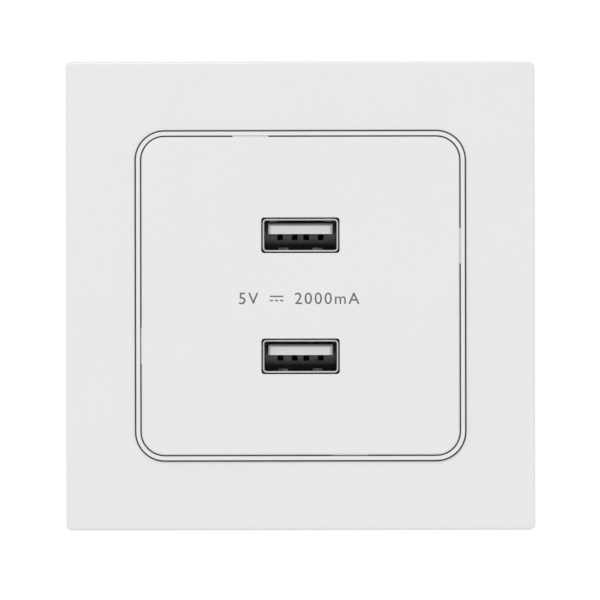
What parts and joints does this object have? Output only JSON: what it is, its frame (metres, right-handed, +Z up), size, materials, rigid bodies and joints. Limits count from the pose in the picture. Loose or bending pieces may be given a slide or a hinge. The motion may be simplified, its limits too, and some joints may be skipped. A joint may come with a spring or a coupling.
{
  "type": "usb wall socket",
  "caption": "Square flush-mounted wall socket with stacked USB-A charging ports in a raised centre plate, spreading claws on a steel support frame and rising-cage mains terminals.",
  "frame": {"origin": "middle of the box-screw pattern on the wall's surface, which is the support frame's back face", "axes": "+X to the right and +Z up as seen from the room, +Y into the wall"},
  "size_m": [0.081, 0.0358, 0.081],
  "materials": {
    "white_gloss_plastic": "glossy pure white",
    "white_matte_plastic": "moulded white",
    "grey_plastic": "moulded light grey",
    "dark_plastic": "moulded black",
    "zinc_plated_steel": "pressed and zinc plated",
    "screw_steel": "zinc plated",
    "nickel_steel": "nickel plated",
    "contact_gold": "gold flashed",
    "board_laminate": "solder-masked laminate",
    "terminal_plastic": "moulded dark grey",
    "tinned_brass": "tinned",
    "terminal_brass": "bright",
    "ferrite": "sintered",
    "winding_tape": "taped copper winding",
    "capacitor_sleeve": "sleeved can",
    "fuse_case": "moulded green",
    "capacitor_box": "moulded yellow",
    "chip_epoxy": "moulded epoxy"
  },
  "bodies": {
    "socket": {"cover_frame": "white_gloss_plastic", "retaining_ring": "white_gloss_plastic", "centre_plate": "white_gloss_plastic", "front_cover": "grey_plastic", "rear_housing": "dark_plastic", "support_frame": "zinc_plated_steel", "usb_shell_upper": "nickel_steel", "usb_shell_lower": "nickel_steel", "usb_insulator_upper": "white_matte_plastic", "usb_insulator_lower": "white_matte_plastic", "usb_contacts_upper": "contact_gold", "usb_contacts_lower": "contact_gold", "circuit_board": "board_laminate", "terminal_block": "terminal_plastic", "terminal_strips": "tinned_brass", "transformer_core": "ferrite", "transformer_bobbin": "dark_plastic", "transformer_winding": "winding_tape", "input_capacitors": "capacitor_sleeve", "output_capacitors": "capacitor_sleeve", "filter_choke": "ferrite", "fuse_resistor": "fuse_case", "safety_capacitor": "capacitor_box", "bridge_rectifier": "chip_epoxy", "controller_chip": "chip_epoxy", "optocoupler": "chip_epoxy", "output_diode": "chip_epoxy"},
    "claw_left": {"claw_left": "zinc_plated_steel"},
    "claw_right": {"claw_right": "zinc_plated_steel"},
    "claw_screw_left": {"claw_screw_left": "screw_steel"},
    "claw_screw_right": {"claw_screw_right": "screw_steel"},
    "terminal_screw_live": {"terminal_screw_live": "screw_steel"},
    "terminal_screw_neutral": {"terminal_screw_neutral": "screw_steel"},
    "terminal_cage_live": {"terminal_cage_live": "terminal_brass"},
    "terminal_cage_neutral": {"terminal_cage_neutral": "terminal_brass"}
  },
  "joints": [
    {"name": "claw_screw_left_turn", "type": "hinge", "parent": "socket", "child": "claw_screw_left", "pos_m": [-0.024, 0, 0], "axis": [0, 1, 0], "range_deg": [0, 1152]},
    {"name": "claw_left_swing", "type": "hinge", "parent": "socket", "child": "claw_left", "pos_m": [-0.021, 0.008, 0], "axis": [0, 0, 1], "range_deg": [0, 28]},
    {"name": "claw_screw_right_turn", "type": "hinge", "parent": "socket", "child": "claw_screw_right", "pos_m": [0.024, 0, 0], "axis": [0, 1, 0], "range_deg": [0, 1152]},
    {"name": "claw_right_swing", "type": "hinge", "parent": "socket", "child": "claw_right", "pos_m": [0.021, 0.008, 0], "axis": [0, 0, -1], "range_deg": [0, 28]},
    {"name": "terminal_screw_live_turn", "type": "hinge", "parent": "socket", "child": "terminal_screw_live", "pos_m": [-0.00375, 0.014, 0.018], "axis": [0, 0, -1], "range_deg": [0, 1080]},
    {"name": "terminal_cage_live_rise", "type": "slide", "parent": "socket", "child": "terminal_cage_live", "axis": [0, 0, 1], "range_m": [0, 0.0015]},
    {"name": "terminal_screw_neutral_turn", "type": "hinge", "parent": "socket", "child": "terminal_screw_neutral", "pos_m": [0.00375, 0.014, 0.018], "axis": [0, 0, -1], "range_deg": [0, 1080]},
    {"name": "terminal_cage_neutral_rise", "type": "slide", "parent": "socket", "child": "terminal_cage_neutral", "axis": [0, 0, 1], "range_m": [0, 0.0015]}
  ],
  "couplings": [
    {"joint": "claw_left_swing", "follows": "claw_screw_left_turn", "ratio": 0.0243},
    {"joint": "claw_right_swing", "follows": "claw_screw_right_turn", "ratio": 0.0243},
    {"joint": "terminal_screw_live_turn", "follows": "terminal_cage_live_rise", "rad_per_m": 12566},
    {"joint": "terminal_screw_neutral_turn", "follows": "terminal_cage_neutral_rise", "rad_per_m": 12566}
  ]
}
